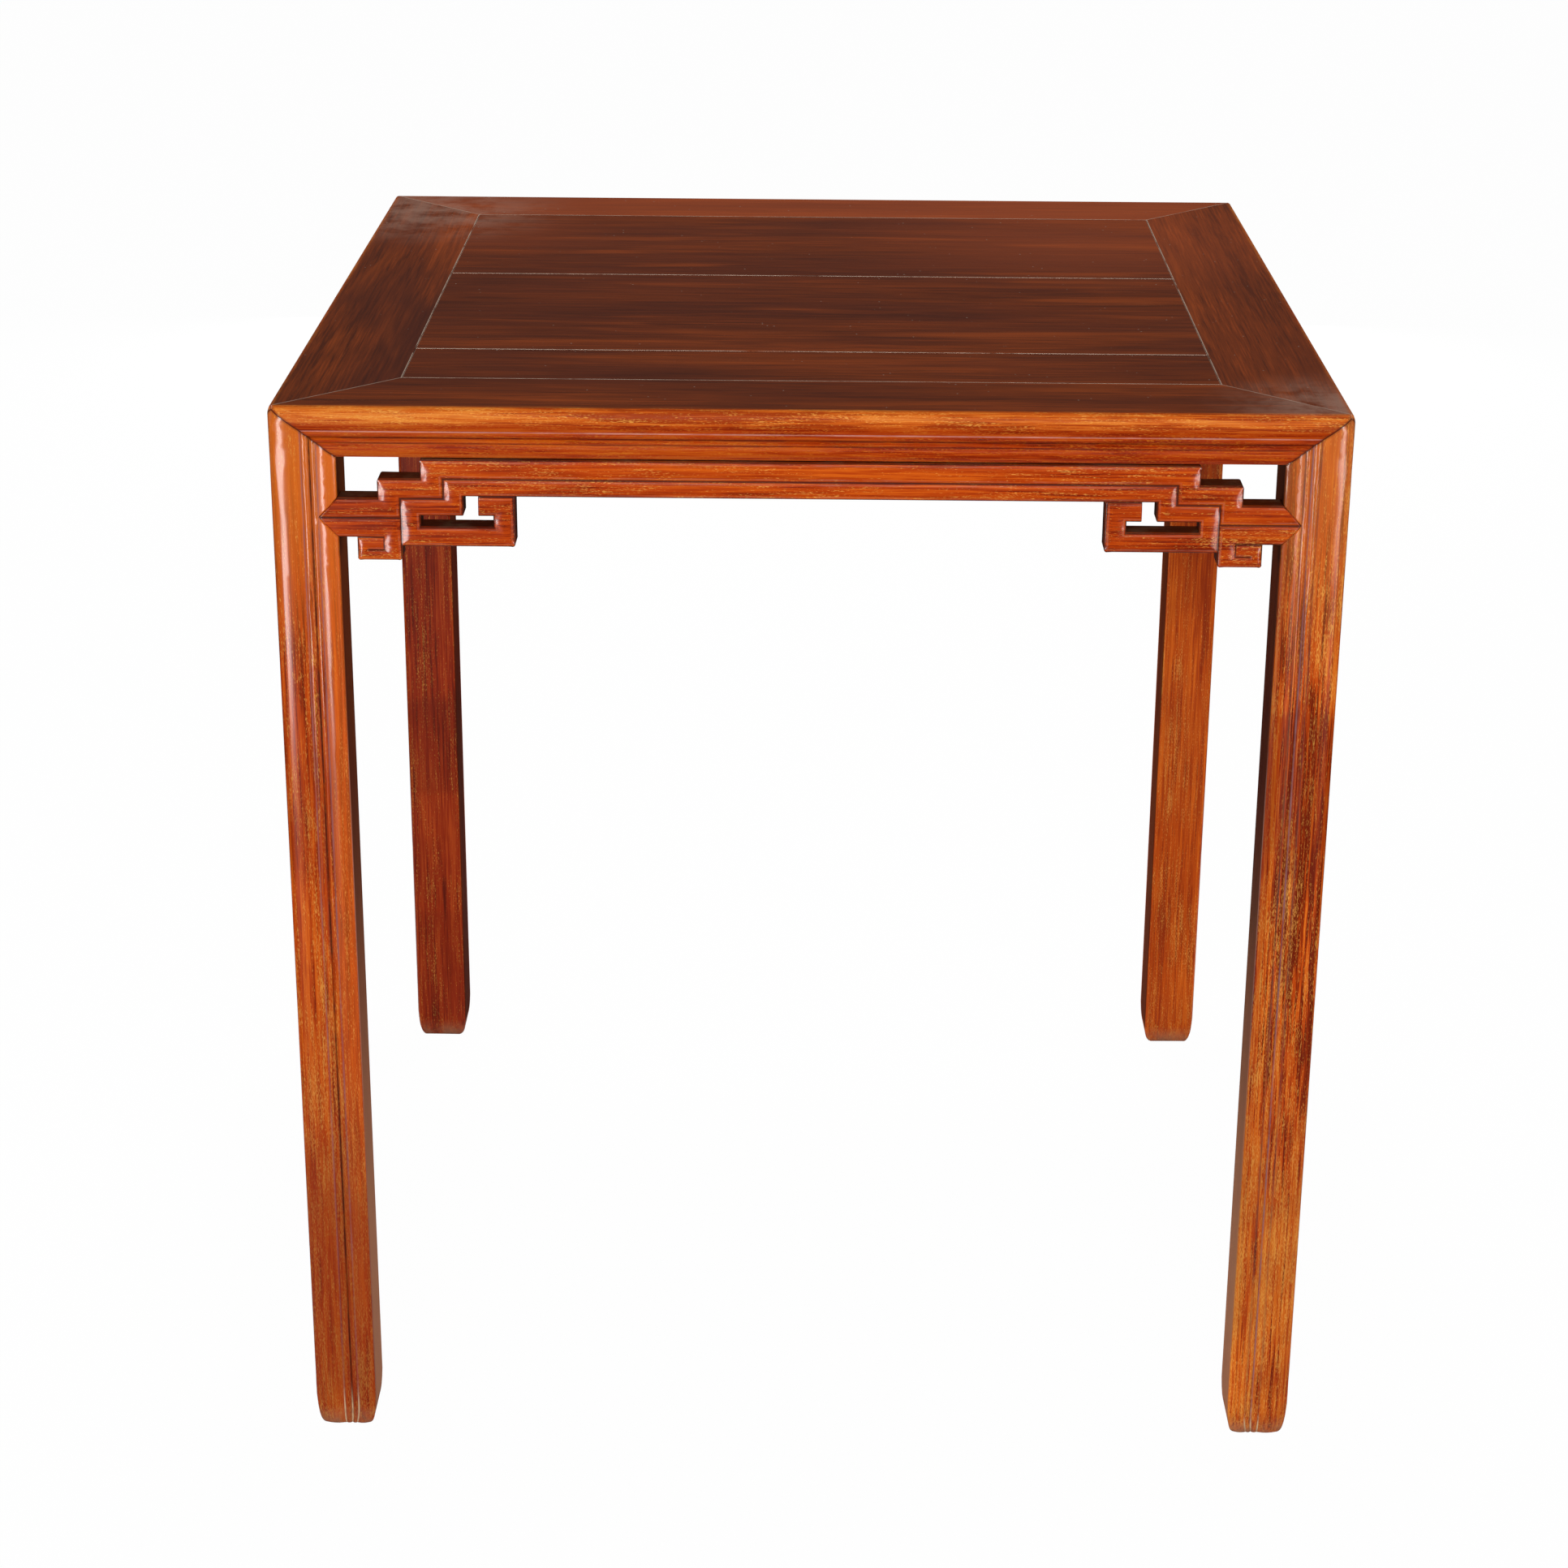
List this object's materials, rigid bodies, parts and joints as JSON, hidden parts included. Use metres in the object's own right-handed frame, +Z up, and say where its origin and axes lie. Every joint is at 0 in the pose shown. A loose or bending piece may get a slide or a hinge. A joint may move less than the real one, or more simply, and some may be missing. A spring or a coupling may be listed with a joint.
{
  "type": "chinese eight immortals table",
  "caption": "Square high table with moulded square legs, a mitred frame holding a flush boarded panel, and a humped fretwork stretcher on each side.",
  "frame": {"origin": "on the floor under the middle of the top, at the centre of the bounding box's bottom face", "axes": "+Z up, the front looks along -Y, +X towards the right when seen from the front"},
  "size_m": [0.8, 0.8, 0.864],
  "materials": {
    "leg_wood": "polished orange-brown hardwood",
    "frame_wood": "polished red-brown hardwood",
    "panel_wood": "polished dark smoky hardwood",
    "plain_wood": "plain unpolished hardwood"
  },
  "bodies": {
    "root": {"leg_front_left": "leg_wood", "leg_front_right": "leg_wood", "leg_rear_left": "leg_wood", "leg_rear_right": "leg_wood", "rail_front": "frame_wood", "rail_rear": "frame_wood", "rail_left": "frame_wood", "rail_right": "frame_wood", "board_front": "panel_wood", "board_middle": "panel_wood", "board_rear": "panel_wood", "batten_1": "plain_wood", "batten_2": "plain_wood", "batten_3": "plain_wood", "stretcher_front": "leg_wood", "stretcher_rear": "leg_wood", "stretcher_left": "leg_wood", "stretcher_right": "leg_wood", "loose_tenon_front_1": "plain_wood", "loose_tenon_front_2": "plain_wood", "loose_tenon_rear_1": "plain_wood", "loose_tenon_rear_2": "plain_wood", "loose_tenon_left_1": "plain_wood", "loose_tenon_left_2": "plain_wood", "loose_tenon_right_1": "plain_wood", "loose_tenon_right_2": "plain_wood"}
  },
  "joints": []
}
